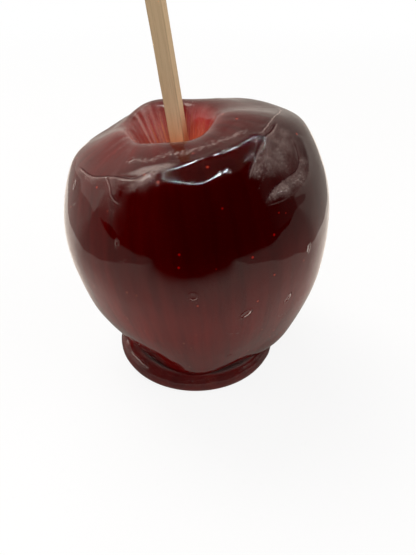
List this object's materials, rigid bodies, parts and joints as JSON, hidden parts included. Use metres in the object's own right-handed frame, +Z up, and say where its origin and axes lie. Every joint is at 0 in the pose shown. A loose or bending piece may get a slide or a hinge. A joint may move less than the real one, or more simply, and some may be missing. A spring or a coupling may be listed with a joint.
{
  "type": "toffee apple",
  "caption": "Toffee apple: a lobed apple dipped in clear dark red hard toffee, standing on a round foot of set toffee, with a square wooden stick leaning in its stem hollow.",
  "frame": {"origin": "middle of the part's box, on the surface that it stands on", "axes": "+Z up, front towards -Y, +X to the right as seen from the front"},
  "size_m": [0.0866, 0.0869, 0.1327],
  "materials": {
    "apple": "waxy red skin with pale dots and orange streaks in the stem hollow",
    "toffee": "clear dark red hard toffee, mirror gloss",
    "stick": "bare pale wood, fine straight grain"
  },
  "bodies": {
    "root": {"apple": "apple", "toffee_coat": "toffee", "stick": "stick"}
  },
  "joints": []
}
